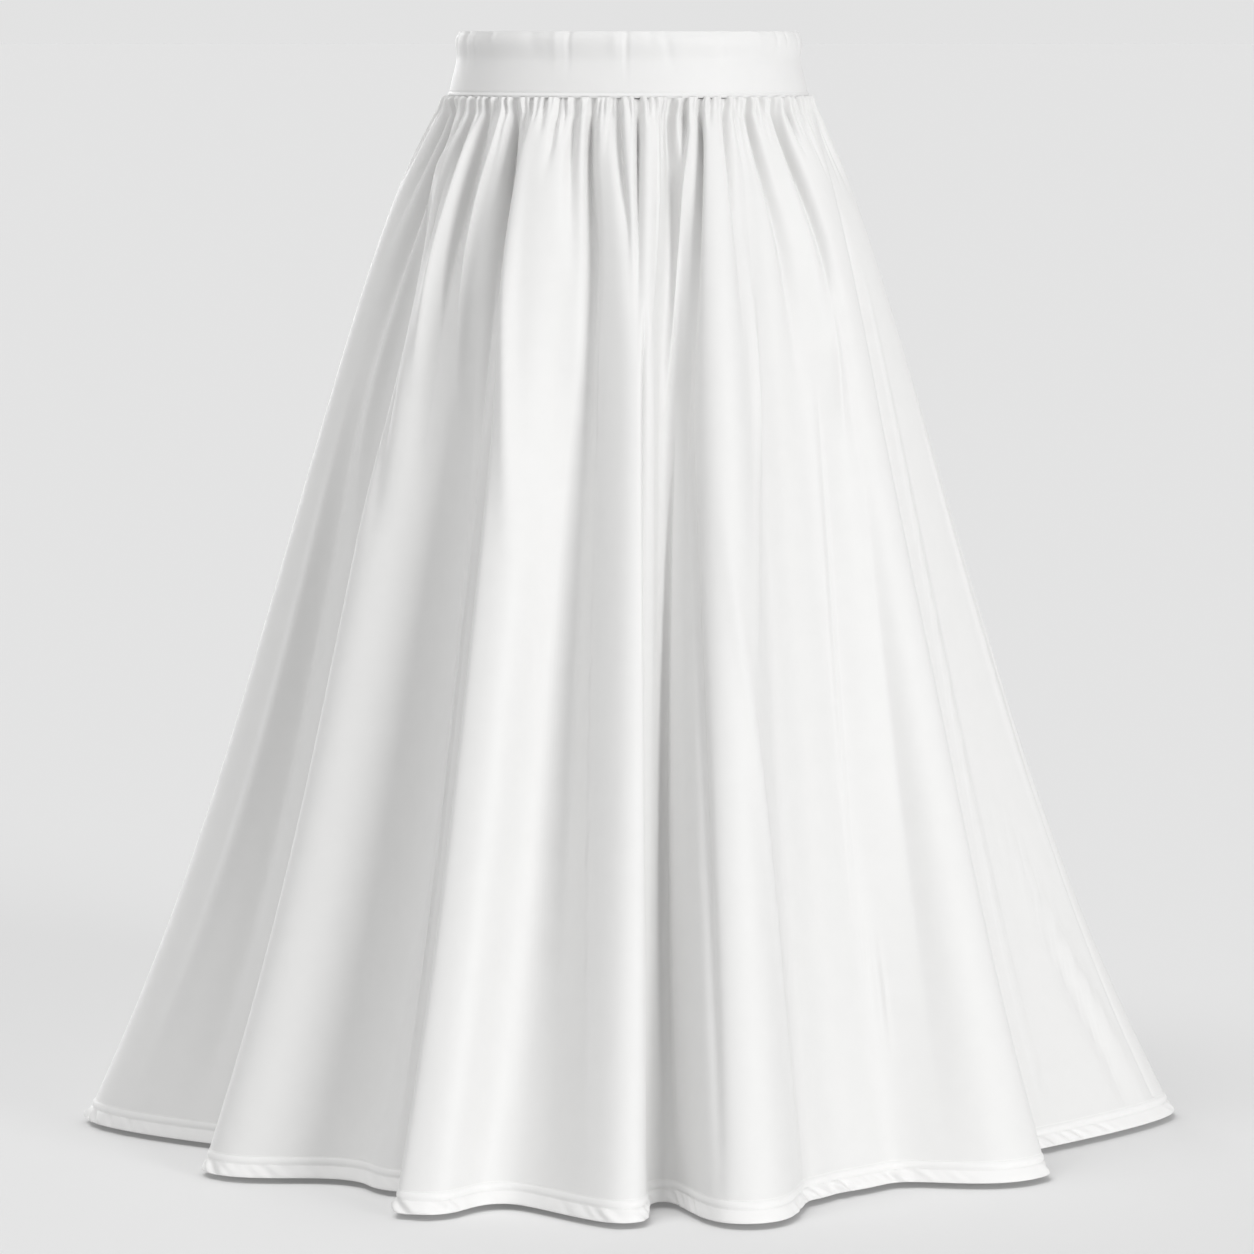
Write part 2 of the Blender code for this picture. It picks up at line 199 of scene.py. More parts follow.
# The front as the photograph shows it, each row as a Crease but with its sizes in millimetres:
# gathers and short creases from left to right, then the long creases down the folds
FRONT_ROWS = (
    (-84, -86, -87, 50, 150, -6.5, 1.5, 4.1),
    (-74, -80, -83, 50, 220, -9.4, 1.9, 5.3),
    (-70, -78.5, -79, 50, 450, -16.5, 2.8, 13.5),
    (-60, -74, -75.5, 85, 420, 9, 3.3, 8.4),
    (-60.5, -61.5, -62.5, 50, 140, -8.2, 1.5, 4.1),
    (-55.5, -55.8, -56.5, 50, 300, -13.1, 2.5, 10.5),
    (-52, -53.5, -52.5, 60, 300, 6.4, 2.8, 5.4),
    (-51.8, -51.6, -51.5, 50, 90, -5.7, 1.3, 2.7),
    (-48.8, -48, -47.8, 50, 260, -13.1, 2.2, 9),
    (-44.8, -44.5, -44.2, 50, 100, -6.5, 1.4, 3),
    (-41.5, -43.8, -41.8, 58, 335, 8, 3.3, 6.4),
    (-41, -40.6, -40.2, 50, 85, -4.8, 1.3, 2.7),
    (-37.8, -35.8, -39, 50, 380, -16.5, 2.5, 9.7),
    (-31.8, -31.5, -31.5, 50, 85, -5.7, 1.4, 2.7),
    (-31, -28, -23.5, 65, 420, 8.5, 3.3, 7.8),
    (-26.5, -26.2, -26, 50, 95, -6.5, 1.5, 3.2),
    (-23.8, -23.9, -24, 50, 78, -4.8, 1.3, 2.7),
    (-21.5, -22, -23.2, 50, 135, -9, 1.6, 4.7),
    (-19.5, -19.2, -18.8, 50, 105, -9, 1.3, 2.7),
    (-16.4, -14.8, -11.8, 50, 235, -11.3, 2.5, 8.3),
    (-13, -13, -13, 50, 80, -4.8, 1.3, 2.7),
    (-11, -7.3, -6, 50, 480, -16.5, 2.2, 9),
    (-7.4, -6.8, -6.4, 50, 95, -5.7, 1.4, 2.7),
    (-6, -5.4, -4.8, 230, 380, 1.4, 1, 1),
    (-4.8, -4.5, -4.2, 50, 115, -5.7, 1.4, 3),
    (-3.4, -2.2, -0.2, 50, 270, -10.4, 2, 6.7),
    (-0.4, -0.4, -0.4, 50, 75, -4, 1.3, 2.4),
    (2.6, 1.2, 1, 50, 300, -15.1, 2, 6.7),
    (6, 6, 6, 50, 85, -4.8, 1.3, 2.7),
    (8.8, 8.5, 4.2, 58, 260, 1.6, 0.9, 1.2),
    (12.8, 15.6, 13.5, 50, 270, -14.2, 2, 7.5),
    (17.4, 18, 18.4, 50, 130, -9.7, 1.4, 3.8),
    (19.8, 19.8, 19.8, 50, 75, -4.6, 1.3, 2.4),
    (19.5, 17, 12, 85, 340, 5.6, 2.4, 3.6),
    (22.8, 21.6, 18.8, 50, 430, -16, 2.2, 9),
    (21, 21.1, 21.2, 240, 440, 1.4, 1, 1),
    (26.5, 26.1, 25.8, 50, 88, -7.3, 1.4, 2.7),
    (30.8, 30.6, 30.2, 50, 300, -10.4, 2.1, 7.5),
    (32.5, 32.8, 33, 170, 400, 4, 3.9, 6),
    (35.2, 35.2, 35.2, 50, 80, -5.7, 1.3, 2.7),
    (39.2, 40.8, 42, 50, 340, -13.1, 2.2, 7.5),
    (44.6, 45.4, 46, 50, 85, -4.8, 1.4, 2.7),
    (50, 55, 58, 50, 420, -13.1, 2.2, 9),
    (55.5, 54.6, 53.8, 190, 340, 4, 3.3, 4.8),
    (57, 58, 59.2, 50, 115, -9, 1.2, 2.2),
    (64, 66, 68, 50, 75, -4.6, 1.3, 2.4),
    (72.5, 76.5, 80.2, 50, 320, -11.3, 2.2, 7.5),
    (84, 85, 86, 50, 160, -6.5, 1.5, 4.1),
    (-82, -82, -84, 300, 930, 6, 4, 10),
    (-79.5, -79, -78.5, 300, 955, -12, 7, 20),
    (-40.5, -41, -42.5, 220, 955, -16, 10, 30),
    (-36.2, -38, -38, 320, 950, 3, 1.4, 2),
    (-56.5, -60, -55.5, 70, 430, -10, 5, 11),
    (-46, -48.5, -48, 70, 400, -9, 4.5, 10),
    (-37, -37.5, -38.5, 70, 460, -8, 5, 11),
    (-7.5, -6, -4.5, 280, 955, -13, 9, 26),
    (-4.8, -3.5, -2, 400, 930, 1.8, 1.2, 1.6),
    (4, 7.5, 10.5, 260, 955, -20, 4.5, 8.5),
    (3, 5.2, 7, 230, 958, -15, 2.4, 4.8),
    (17.5, 19.3, 19.6, 300, 956, 12, 7, 18),
    (21.5, 23.6, 24.6, 300, 950, -5, 3, 6),
    (34, 32, 28.8, 180, 560, 4, 4, 6),
    (26, 30.5, 34, 400, 958, 4, 4, 6),
    (47.2, 46.6, 46, 300, 760, 1.4, 1.5, 2.8),
    (48.6, 51.2, 53.2, 796, 818, 2.2, 1.4, 1.4),
    (48.8, 51, 53.4, 838, 852, 1.6, 1.2, 1.2),
    (47.6, 48.4, 49.8, 770, 812, 1.2, 1.2, 1.4),
    (58.5, 58.5, 57, 300, 955, -13, 13, 33),
    (70, 70.5, 69, 340, 950, 5, 11, 24),
    (81, 83.6, 84, 200, 956, 3.4, 1.8, 3),
    (78.5, 81, 81.5, 260, 950, -5, 4, 8),
    (87.6, 88.6, 89.8, 300, 760, 2.4, 2, 3.4),
    (85.2, 88, 89.4, 680, 945, 5, 3, 6),
    (86.4, 87.6, 88.4, 760, 950, -5, 3, 6),
)
FRONT_CREASES = tuple(
    Crease(*row[:3], *(MM * size for size in row[3:])) for row in FRONT_ROWS
)

BAND_WRINKLES = (
    BandWrinkle(-34.6, -31.0, -0.004, 0.034, -0.0012, 0.0050),
    BandWrinkle(-24.6, -24.4, -0.004, 0.048, 0.0013, 0.0032),
    BandWrinkle(-20.1, -20.1, -0.004, 0.044, -0.0016, 0.0016),
    BandWrinkle(-4.6, -4.6, -0.004, 0.040, 0.0012, 0.0030),
    BandWrinkle(-0.8, -0.8, -0.004, 0.050, -0.0017, 0.0015),
    BandWrinkle(7.2, 7.2, -0.004, 0.018, -0.0012, 0.0026),
    BandWrinkle(11.6, 15.7, -0.002, 0.050, -0.0010, 0.0030),
    BandWrinkle(31.5, 33.8, -0.002, 0.046, -0.0009, 0.0030),
)

BAND_SECTIONS = (
    BandSection(0.0000, 0.1470, 0.1066),
    BandSection(0.0020, 0.1485, 0.1080),
    BandSection(0.0260, 0.1505, 0.1100),
    BandSection(0.0430, 0.1545, 0.1135),
    BandSection(0.0567, 0.1578, 0.1165),
)


def smooth_step(part: Array) -> Array:
    """0 below 0, 1 above 1, and an even ease between."""
    held = np.clip(part, 0.0, 1.0)
    return held * held * (3 - 2 * held)


def bell(apart: Array) -> Array:
    """1 in the middle, falling off evenly to both sides within about 1."""
    return np.exp(-(apart**2))


def hermite(places: Array, knots: Array, values: Array, slopes: Array) -> Array:
    """The smooth curve that passes each knot with the value and slope given there.

    Args:
        places: where to read the curve.
        knots: rising places of the knots.
        values: one value, or one row of values, a knot.
        slopes: the slope at each knot, shaped as the values.

    Returns:
        One value, or one row of values, a place.
    """
    segment = np.clip(np.searchsorted(knots, places, side="right") - 1, 0, len(knots) - 2)
    step = knots[segment + 1] - knots[segment]
    part = (places - knots[segment]) / step
    if values.ndim > 1:
        step = step[:, None]
        part = part[:, None]
    squared = part * part
    cubed = squared * part
    return (
        (2 * cubed - 3 * squared + 1) * values[segment]
        + (cubed - 2 * squared + part) * step * slopes[segment]
        + (3 * squared - 2 * cubed) * values[segment + 1]
        + (cubed - squared) * step * slopes[segment + 1]
    )


def read_sizes(drops: Array, rows: Sequence[tuple], column: int) -> Array:
    """A table's sizes at any drops, on a smooth curve through its rows.

    Args:
        drops: where to read the table.
        rows: the table, each row with its drop first.
        column: which of the row's values to read.

    Returns:
        One size a drop.
    """
    table = np.array(rows)
    known = table[:, 0]
    sizes = table[:, column]
    return hermite(drops, known, sizes, np.gradient(sizes, known))


def spaced(places: Array, weights: Array, count: int) -> Array:
    """Places picked so that the weights between neighbours add up alike.

    Args:
        places: rising places.
        weights: the weight of each step from one place to the next.
        count: how many steps the picked places make.

    Returns:
        The picked places, one more than the count.
    """
    run = np.concatenate([[0.0], np.cumsum(weights)])
    return np.interp(np.linspace(0.0, run[-1], count + 1), run, places)


def read_along(at: float, run: Array, rows: Array) -> Vector:
    """The x, y and z at a distance along a line, given how far along each row is."""
    return Vector([np.interp(at, run, rows[:, axis]) for axis in range(3)])


def leaning_line(bearing: float, lean: float, bend: float) -> tuple[float, float, float]:
    """A crease's top, middle and low bearings, where bend is how early it leans."""
    return (bearing, bearing + bend * lean, bearing + lean)


@dataclass
class SkirtForm:
    """The outer face of the panels, worked out for any bearing and drop."""

    length: float = 0.960
    band_height: float = 0.0567
    seam_gap: float = 0.0003
    seam_half_width: float = 0.1595
    seam_half_depth: float = 0.1170
    drift_drop: float = 0.150
    samples: int = 2880
    jersey_softness: float = 0.7
    ring_softness: float = 22.0
    rise_softness: float = 4.0
    drift_softness: float = 2.5

    def __post_init__(self) -> None:
        """Work out the tables that every point is read from."""
        self.panel_top = self.band_height + self.seam_gap
        self.mean_radius = 0.5 * (self.seam_half_width + self.seam_half_depth)
        self._places = np.arange(self.samples) * FULL_TURN / self.samples - HALF_TURN
        turns = self._turns()
        self.hem_line = self._hem_line(turns)
        self.hem_ring = self._softened(self.hem_line, self.ring_softness)
        self.fold_rise = self._round_table(turns[:, 0], turns[:, 4], self.rise_softness)
        drifts = np.array(DRIFTS)
        self.drift = self._round_table(drifts[:, 0], drifts[:, 1], self.drift_softness)

    def _turns(self) -> Array:
        """One row for each crest and each hollow, in order round the waist.

        Returns:
            Rows of bearing at waist and hem, reach, breadth and rise.
        """
        rows = []
        for fold in FOLDS:
            rows.append((*fold[0:4], fold.rise))
            rows.append((*fold[4:8], fold.rise))
        rows.sort()
        return np.array(rows)

    def _softened(self, values: Array, spread: float) -> Array:
        """Values round the skirt, each averaged with its neighbours.

        Args:
            values: one row a sampled bearing.
            spread: about how far the average reaches, in degrees.

        Returns:
            As many rows.
        """
        steps = np.arange(self.samples)
        degrees = np.minimum(steps, self.samples - steps) * FULL_TURN / self.samples
        weights = np.exp(-0.5 * (degrees / spread) ** 2)
        weights /= weights.sum()
        mixed = np.fft.fft(values, axis=0) * np.fft.fft(weights)[:, None]
        return np.real(np.fft.ifft(mixed, axis=0))

    def _round_table(self, places: Array, values: Array, spread: float) -> Array:
        """Values given at some bearings, filled in and softened all round.

        Args:
            places: the bearings.
            values: one value a bearing.
            spread: how softly they blend, in degrees.

        Returns:
            One value a sampled bearing.
        """
        order = np.argsort(places)
        known = np.concatenate([places[order] + turn for turn in (-FULL_TURN, 0.0, FULL_TURN)])
        filled = np.interp(self._places, known, np.tile(values[order], 3))
        return self._softened(filled[:, None], spread)

    def _hem_line(self, turns: Array) -> Array:
        """The line of the hem, seen from above.

        Args:
            turns: one row for each crest and each hollow.

        Returns:
            One row of x and y a sampled bearing.
        """
        knots = turns[:, 0]
        at_hem = np.radians(turns[:, 1])
        outward = np.column_stack([np.sin(at_hem), -np.cos(at_hem)])
        along = np.column_stack([np.cos(at_hem), np.sin(at_hem)])
        before = (knots - np.roll(knots, 1)) % FULL_TURN
        after = (np.roll(knots, -1) - knots) % FULL_TURN
        slopes = along * (turns[:, 3] / (0.5 * (before + after)))[:, None]
        table = np.column_stack([knots, outward * turns[:, 2:3], slopes])
        again = table[:1].copy()
        again[:, 0] += FULL_TURN
        table = np.vstack([table, again])
        places = (self._places - knots[0]) % FULL_TURN + knots[0]
        line = hermite(places, table[:, 0], table[:, 1:3], table[:, 3:5])
        return self._softened(line, self.jersey_softness)

    def read_round(self, table: Array, bearings: Array) -> Array:
        """The values of a sampled table at any bearings.

        Args:
            table: one row a sampled bearing.
            bearings: where to read it.

        Returns:
            One row a bearing.
        """
        places = ((bearings + HALF_TURN) % FULL_TURN) * self.samples / FULL_TURN
        lower = np.floor(places).astype(int) % self.samples
        part = (places - np.floor(places))[:, None]
        return table[lower] * (1 - part) + table[(lower + 1) % self.samples] * part

    def hem_steps(self, side: Side) -> tuple[Array, Array]:
        """The sampled bearings of one side, and the hem line's step from each to the next."""
        places = np.linspace(side.value, side.value + HALF_TURN, self.samples)
        return places, np.diff(self.read_round(self.hem_line, places), axis=0)

    def widening(self, drops: Array) -> Array:
        """How far the cloth has opened from the waist seam, 0, to the hem, 1."""
        narrow, wide = OUTLINE[0].half_width, OUTLINE[-1].half_width
        return np.clip((read_sizes(drops, OUTLINE, 1) - narrow) / (wide - narrow), 0.0, 1.0)

    def points(self, bearings: Array, drops: Array) -> Array:
        """Points on the outer face.

        Args:
            bearings: one bearing a point.
            drops: one drop a point.

        Returns:
            One row of x, y and z a point.
        """
        opened = self.widening(drops)[:, None]
        drifting = smooth_step((drops - self.panel_top) / self.drift_drop) * (1 - opened[:, 0]) ** 2
        placed = bearings + self.read_round(self.drift, bearings)[:, 0] * drifting
        angles = np.radians(placed)
        sines = np.sin(angles)
        cosines = np.cos(angles)
        waist = np.column_stack([self.seam_half_width * sines, -self.seam_half_depth * cosines])
        ring = self.read_round(self.hem_ring, placed)
        folded = self.read_round(self.hem_line, placed) - ring
        growth = np.maximum(opened, TINY) ** self.read_round(self.fold_rise, placed)
        plan = waist * (1 - opened) + ring * opened + folded * growth
        return np.column_stack([plan, -drops])


@dataclass
class ClothGrid:
    """Points of a piece of cloth in rows down and columns round, with its bearings and drops."""

    form: SkirtForm
    bearings: Array
    drops: Array
    crease_fall: float = 0.7
    crease_power: float = 1.6
    crease_fullness: float = 0.7

    def __post_init__(self) -> None:
        """Place the grid on the form."""
        rows = len(self.drops)
        columns = len(self.bearings)
        flat = self.form.points(np.tile(self.bearings, rows), np.repeat(self.drops, columns))
        self.points = flat.reshape(rows, columns, 3)
        steps = np.linalg.norm(np.diff(self.points, axis=1), axis=2)
        self.along = np.concatenate([np.zeros((rows, 1)), np.cumsum(steps, axis=1)], axis=1)

    def normals(self) -> Array:
        """The outward direction at each point.

        Returns:
            One row of x, y and z a point, of length 1.
        """
        across = np.gradient(self.points, axis=1)
        down = np.gradient(self.points, axis=0)
        out = np.cross(down, across)
        return out / np.maximum(np.linalg.norm(out, axis=2, keepdims=True), TINY * TINY)

    def move_out(self, amounts: Array) -> None:
        """Move each point out by its amount, along the cloth's own outward direction."""
        self.points = self.points + self.normals() * amounts[:, :, None]

    def crease_heights(self, creases: Sequence[Crease]) -> Array:
        """How far each point stands out for some creases.

        A gather is deepest at the waist seam. Any other crease fades out at both ends.

        Args:
            creases: the creases, whose heights add up where they cross.

        Returns:
            One height a point, in rows and columns as the grid's.
        """
        total = np.zeros(self.points.shape[:2])
        for crease in creases:
            span = crease.low_drop - crease.top_drop
            gathered = crease.top_drop < self.form.panel_top
            inside = (self.drops > crease.top_drop) & (self.drops < crease.low_drop)
            for row in np.flatnonzero(inside):
                part = (self.drops[row] - crease.top_drop) / span
                left = 1.0 - part
                bearing = (
                    crease.top_bearing * left * (left - part)
                    + crease.middle_bearing * 4 * part * left
                    + crease.low_bearing * part * (part - left)
                )
                breadth = crease.top_breadth * left + crease.low_breadth * part
                middle = np.interp(bearing, self.bearings, self.along[row])
                apart = np.abs(self.along[row] - middle) / breadth
                if gathered:
                    fading = 1 - smooth_step(part)
                else:
                    fading = math.sin(math.pi * part) ** self.crease_fullness
                profile = np.exp(-self.crease_fall * apart**self.crease_power)
                total[row] += crease.height * fading * profile
        return total


def add_object(name: str, data: bpy.types.ID) -> Object:
    """An object in the scene for a mesh, a light or a camera.

    Args:
        name: the object's name.
        data: the mesh, light or camera.

    Returns:
        The object, linked to the scene.
    """
    thing = bpy.data.objects.new(name, data)
    bpy.context.scene.collection.objects.link(thing)
    return thing


def mesh_from(shape: bmesh.types.BMesh, name: str) -> bpy.types.Mesh:
    """A named mesh of a finished shape.

    Args:
        shape: the shape, which is used up.
        name: the mesh's name.

    Returns:
        The mesh.
    """
    mesh = bpy.data.meshes.new(name)
    shape.to_mesh(mesh)
    shape.free()
    return mesh


def piece_from_grid(name: str, points: Array, uvs: Array, weld: float = 0.0) -> Object:
    """A mesh object whose surface is a grid of points, facing out.

    Args:
        name: the piece's name.
        points: rows down by columns round by x, y and z.
        uvs: the same grid of u and v in metres along the cloth.
        weld: how close points are joined, for a grid whose ends meet.

    Returns:
        The object, linked to the scene.
    """
    rows, columns = points.shape[:2]
    sheet = bmesh.new()
    bmesh.ops.create_grid(sheet, x_segments=columns - 1, y_segments=rows - 1, size=0.5)
    start = np.array([vertex.co[:2] for vertex in sheet.verts])
    order = np.lexsort((np.round(start[:, 0], 6), -np.round(start[:, 1], 6)))
    mesh = mesh_from(sheet, name)
    placed = np.empty((rows * columns, 3))
    placed[order] = points.reshape(-1, 3)
    mesh.vertices.foreach_set("co", placed.ravel())
    spread = np.empty((rows * columns, 2))
    spread[order] = uvs.reshape(-1, 2)
    corners = np.empty(len(mesh.loops), int)
    mesh.loops.foreach_get("vertex_index", corners)
    layer = mesh.uv_layers.new(name=CLOTH_MAP)
    layer.data.foreach_set("uv", spread[corners].ravel())
    if weld > 0:
        joined = bmesh.new()
        joined.from_mesh(mesh)
        bmesh.ops.remove_doubles(joined, verts=joined.verts, dist=weld)
        holes = [edge for edge in joined.edges if edge.is_boundary]
        bmesh.ops.holes_fill(joined, edges=holes, sides=0)
        joined.to_mesh(mesh)
        joined.free()
    mesh.update()
    mesh.shade_smooth()
    return add_object(name, mesh)


def thickened(piece: Object, wall: float) -> None:
    """Give an open piece a wall that goes inwards from its outer face, with crisp rims.

    Args:
        piece: the open piece.
        wall: how thick the wall is.
    """
    modifier = piece.modifiers.new("wall", "SOLIDIFY")
    modifier.thickness = wall
    modifier.offset = -1.0
    modifier.use_even_offset = False
    graph = bpy.context.evaluated_depsgraph_get()
    mesh = bpy.data.meshes.new_from_object(piece.evaluated_get(graph))
    mesh.name = piece.name
    old = piece.data
    piece.modifiers.clear()
    piece.data = mesh
    bpy.data.meshes.remove(old)
    mesh.set_sharp_from_angle(angle=math.radians(PANEL_RIM_ANGLE))


def new_material(name: str, roughness: float) -> Material:
    """A node material whose shader has the given roughness.

    Args:
        name: the material's name.
        roughness: how rough its surface is.

    Returns:
        The material.
    """
    material = bpy.data.materials.new(name)
    material.use_nodes = True
    shader = material.node_tree.nodes["Principled BSDF"]
    shader.inputs["Roughness"].default_value = roughness
    return material


def mottle(material: Material, size: float, detail: float, tones: Sequence[Colour]) -> None:
    """Let a material's colour wander softly between two tones.

    Args:
        material: the material to colour.
        size: how fine the patches are.
        detail: how ragged they are.
        tones: the two colours.
    """
    nodes = material.node_tree.nodes
    links = material.node_tree.links
    coordinate = nodes.new("ShaderNodeTexCoord")
    patches = nodes.new("ShaderNodeTexNoise")
    patches.inputs["Scale"].default_value = size
    patches.inputs["Detail"].default_value = detail
    links.new(coordinate.outputs["Object"], patches.inputs["Vector"])
    mixed = nodes.new("ShaderNodeMix")
    mixed.data_type = "RGBA"
    for socket, tone in zip(("A", "B"), tones):
        mixed.inputs[socket].default_value = (*tone, 1.0)
    links.new(patches.outputs["Fac"], mixed.inputs["Factor"])
    links.new(mixed.outputs["Result"], nodes["Principled BSDF"].inputs["Base Color"])


@dataclass(frozen=True)
class JerseyFinish:
    """White stretch jersey with a soft satin sheen and fine knit ribs along the length."""

    name: str
    colour: Colour
    roughness: float = 0.55
    specular: float = 0.45
    sheen: float = 0.15
    sheen_roughness: float = 0.45
    rib_pitch: float = 0.0009
    course_pitch: float = 0.0008
    course_share: float = 0.45
    knit_height: float = 0.00004
    knit_strength: float = 0.5
    knit_unevenness: float = 0.6
    mottle_size: float = 55.0
    mottle_detail: float = 3.0
    mottle_depth: float = 0.018

    def material(self) -> Material:
        """The node material of this jersey.

        Returns:
            The material, with its sheen, mottle and knit.
        """
        material = new_material(self.name, self.roughness)
        nodes = material.node_tree.nodes
        links = material.node_tree.links
        shader = nodes["Principled BSDF"]
        shader.inputs["Sheen Weight"].default_value = self.sheen
        shader.inputs["Sheen Roughness"].default_value = self.sheen_roughness
        shader.inputs["Specular IOR Level"].default_value = self.specular
        darker = tuple(value * (1 - self.mottle_depth) for value in self.colour)
        lighter = tuple(value * (1 + self.mottle_depth) for value in self.colour)
        mottle(material, self.mottle_size, self.mottle_detail, (darker, lighter))
        links.new(self._knit(nodes, links), shader.inputs["Normal"])
        return material

    def _knit(self, nodes: bpy.types.Nodes, links: bpy.types.NodeLinks) -> bpy.types.NodeSocket:
        """The knit's ribs and courses as a fine bump, laid along the cloth's own UV map.

        Args:
            nodes: the material's nodes.
            links: the material's links.

        Returns:
            The socket that gives the bumped direction.
        """
        cloth = nodes.new("ShaderNodeUVMap")
        cloth.uv_map = CLOTH_MAP
        heights = []
        for direction, pitch in (("X", self.rib_pitch), ("Y", self.course_pitch)):
            wave = nodes.new("ShaderNodeTexWave")
            wave.wave_type = "BANDS"
            wave.bands_direction = direction
            wave.inputs["Scale"].default_value = WAVE_BAND / pitch
            wave.inputs["Distortion"].default_value = self.knit_unevenness
            wave.inputs["Detail"].default_value = 1.0
            links.new(cloth.outputs["UV"], wave.inputs["Vector"])
            heights.append(wave.outputs["Fac"])
        both = nodes.new("ShaderNodeMath")
        both.operation = "MULTIPLY_ADD"
        both.inputs[1].default_value = self.course_share
        links.new(heights[1], both.inputs[0])
        links.new(heights[0], both.inputs[2])
        bump = nodes.new("ShaderNodeBump")
        bump.inputs["Strength"].default_value = self.knit_strength
        bump.inputs["Distance"].default_value = self.knit_height
        links.new(both.outputs[0], bump.inputs["Height"])
        return bump.outputs["Normal"]


@dataclass(frozen=True)
class ThreadFinish:
    """White sewing thread."""

    name: str = "sewing_thread"
    colour: Colour = (0.80, 0.80, 0.79)
    roughness: float = 0.45
    fibre_size: float = 900.0
    fibre_detail: float = 2.0
    fibre_shade: float = 0.94

    def material(self) -> Material:
        """The node material of the thread.

        Returns:
            The material, mottled by its fibres.
        """
        material = new_material(self.name, self.roughness)
        darker = tuple(value * self.fibre_shade for value in self.colour)
        mottle(material, self.fibre_size, self.fibre_detail, (darker, self.colour))
        return material


@dataclass
class Wardrobe:
    """The materials that the pieces share."""

    panel: Material
    hem: Material
    band: Material
    thread: Material


def finish_piece(piece: Object, material: Material) -> None:
    """Dress a piece, let it ride on the skirt and report it.

    Args:
        piece: the finished piece.
        material: what it is made of.
    """
    piece.data.materials.clear()
    piece.data.materials.append(material)
    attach(piece, "root")
    LOG.info("%s: %d faces", piece.name, len(piece.data.polygons))


class GatherSizes(NamedTuple):
    """Between what limits a gather's length, depth and breadth may be."""

    length: Span
    depth: Span
    breadth: Span


@dataclass(frozen=True)
class BackCreases:
    """The back's gathers and long soft creases, as uneven as the front's but by chance."""

    seed: int = 11
    gather_margin: float = 4.0
    gather_start: float = 0.007
    gather_step: Span = (2.4, 5.4)
    gather_lean: Span = (-2.5, 2.5)
    gather_bend: float = 0.7
    long_every: int = 3
    long: GatherSizes = GatherSizes((0.18, 0.45), (0.0110, 0.0165), (0.0019, 0.0026))
    short: GatherSizes = GatherSizes((0.030, 0.13), (0.0050, 0.0095), (0.0013, 0.0017))
    gather_widening: float = 0.022
    soft_margin: float = 8.0
    soft_step: Span = (6.0, 18.0)
    soft_lean: Span = (-2.0, 2.0)
    soft_bend: float = 0.6
    soft_top: Span = (0.20, 0.42)
    soft_low: Span = (0.80, 0.955)
    soft_height: Span = (0.0040, 0.0140)
    soft_breadth: Span = (0.0040, 0.0100)
    soft_widening: float = 2.2

    def made(self, first: float, panel_top: float) -> list[Crease]:
        """Every crease of the back.

        Args:
            first: the bearing of the side seam that the back starts at.
            panel_top: the drop of the panel's top edge.

        Returns:
            The gathers, every third one long, and then the soft creases.
        """
        chance = random.Random(self.seed)
        top = panel_top - self.gather_start
        bearing = first + self.gather_margin
        made = []
        while bearing < first + HALF_TURN - self.gather_margin:
            sizes = self.short if len(made) % self.long_every else self.long
            length, depth, breadth = (chance.uniform(*limits) for limits in sizes)
            low_breadth = breadth + self.gather_widening * length
            line = leaning_line(bearing, chance.uniform(*self.gather_lean), self.gather_bend)
            made.append(Crease(*line, top, top + length, -depth, breadth, low_breadth))
            bearing += chance.uniform(*self.gather_step)
        bearing = first + self.soft_margin
        while bearing < first + HALF_TURN - self.soft_margin:
            line = leaning_line(bearing, chance.uniform(*self.soft_lean), self.soft_bend)
            run = (chance.uniform(*self.soft_top), chance.uniform(*self.soft_low))
            height = chance.choice(CREASE_SIGNS) * chance.uniform(*self.soft_height)
            breadth = chance.uniform(*self.soft_breadth)
            made.append(Crease(*line, *run, height, breadth, self.soft_widening * breadth))
            bearing += chance.uniform(*self.soft_step)
        return made


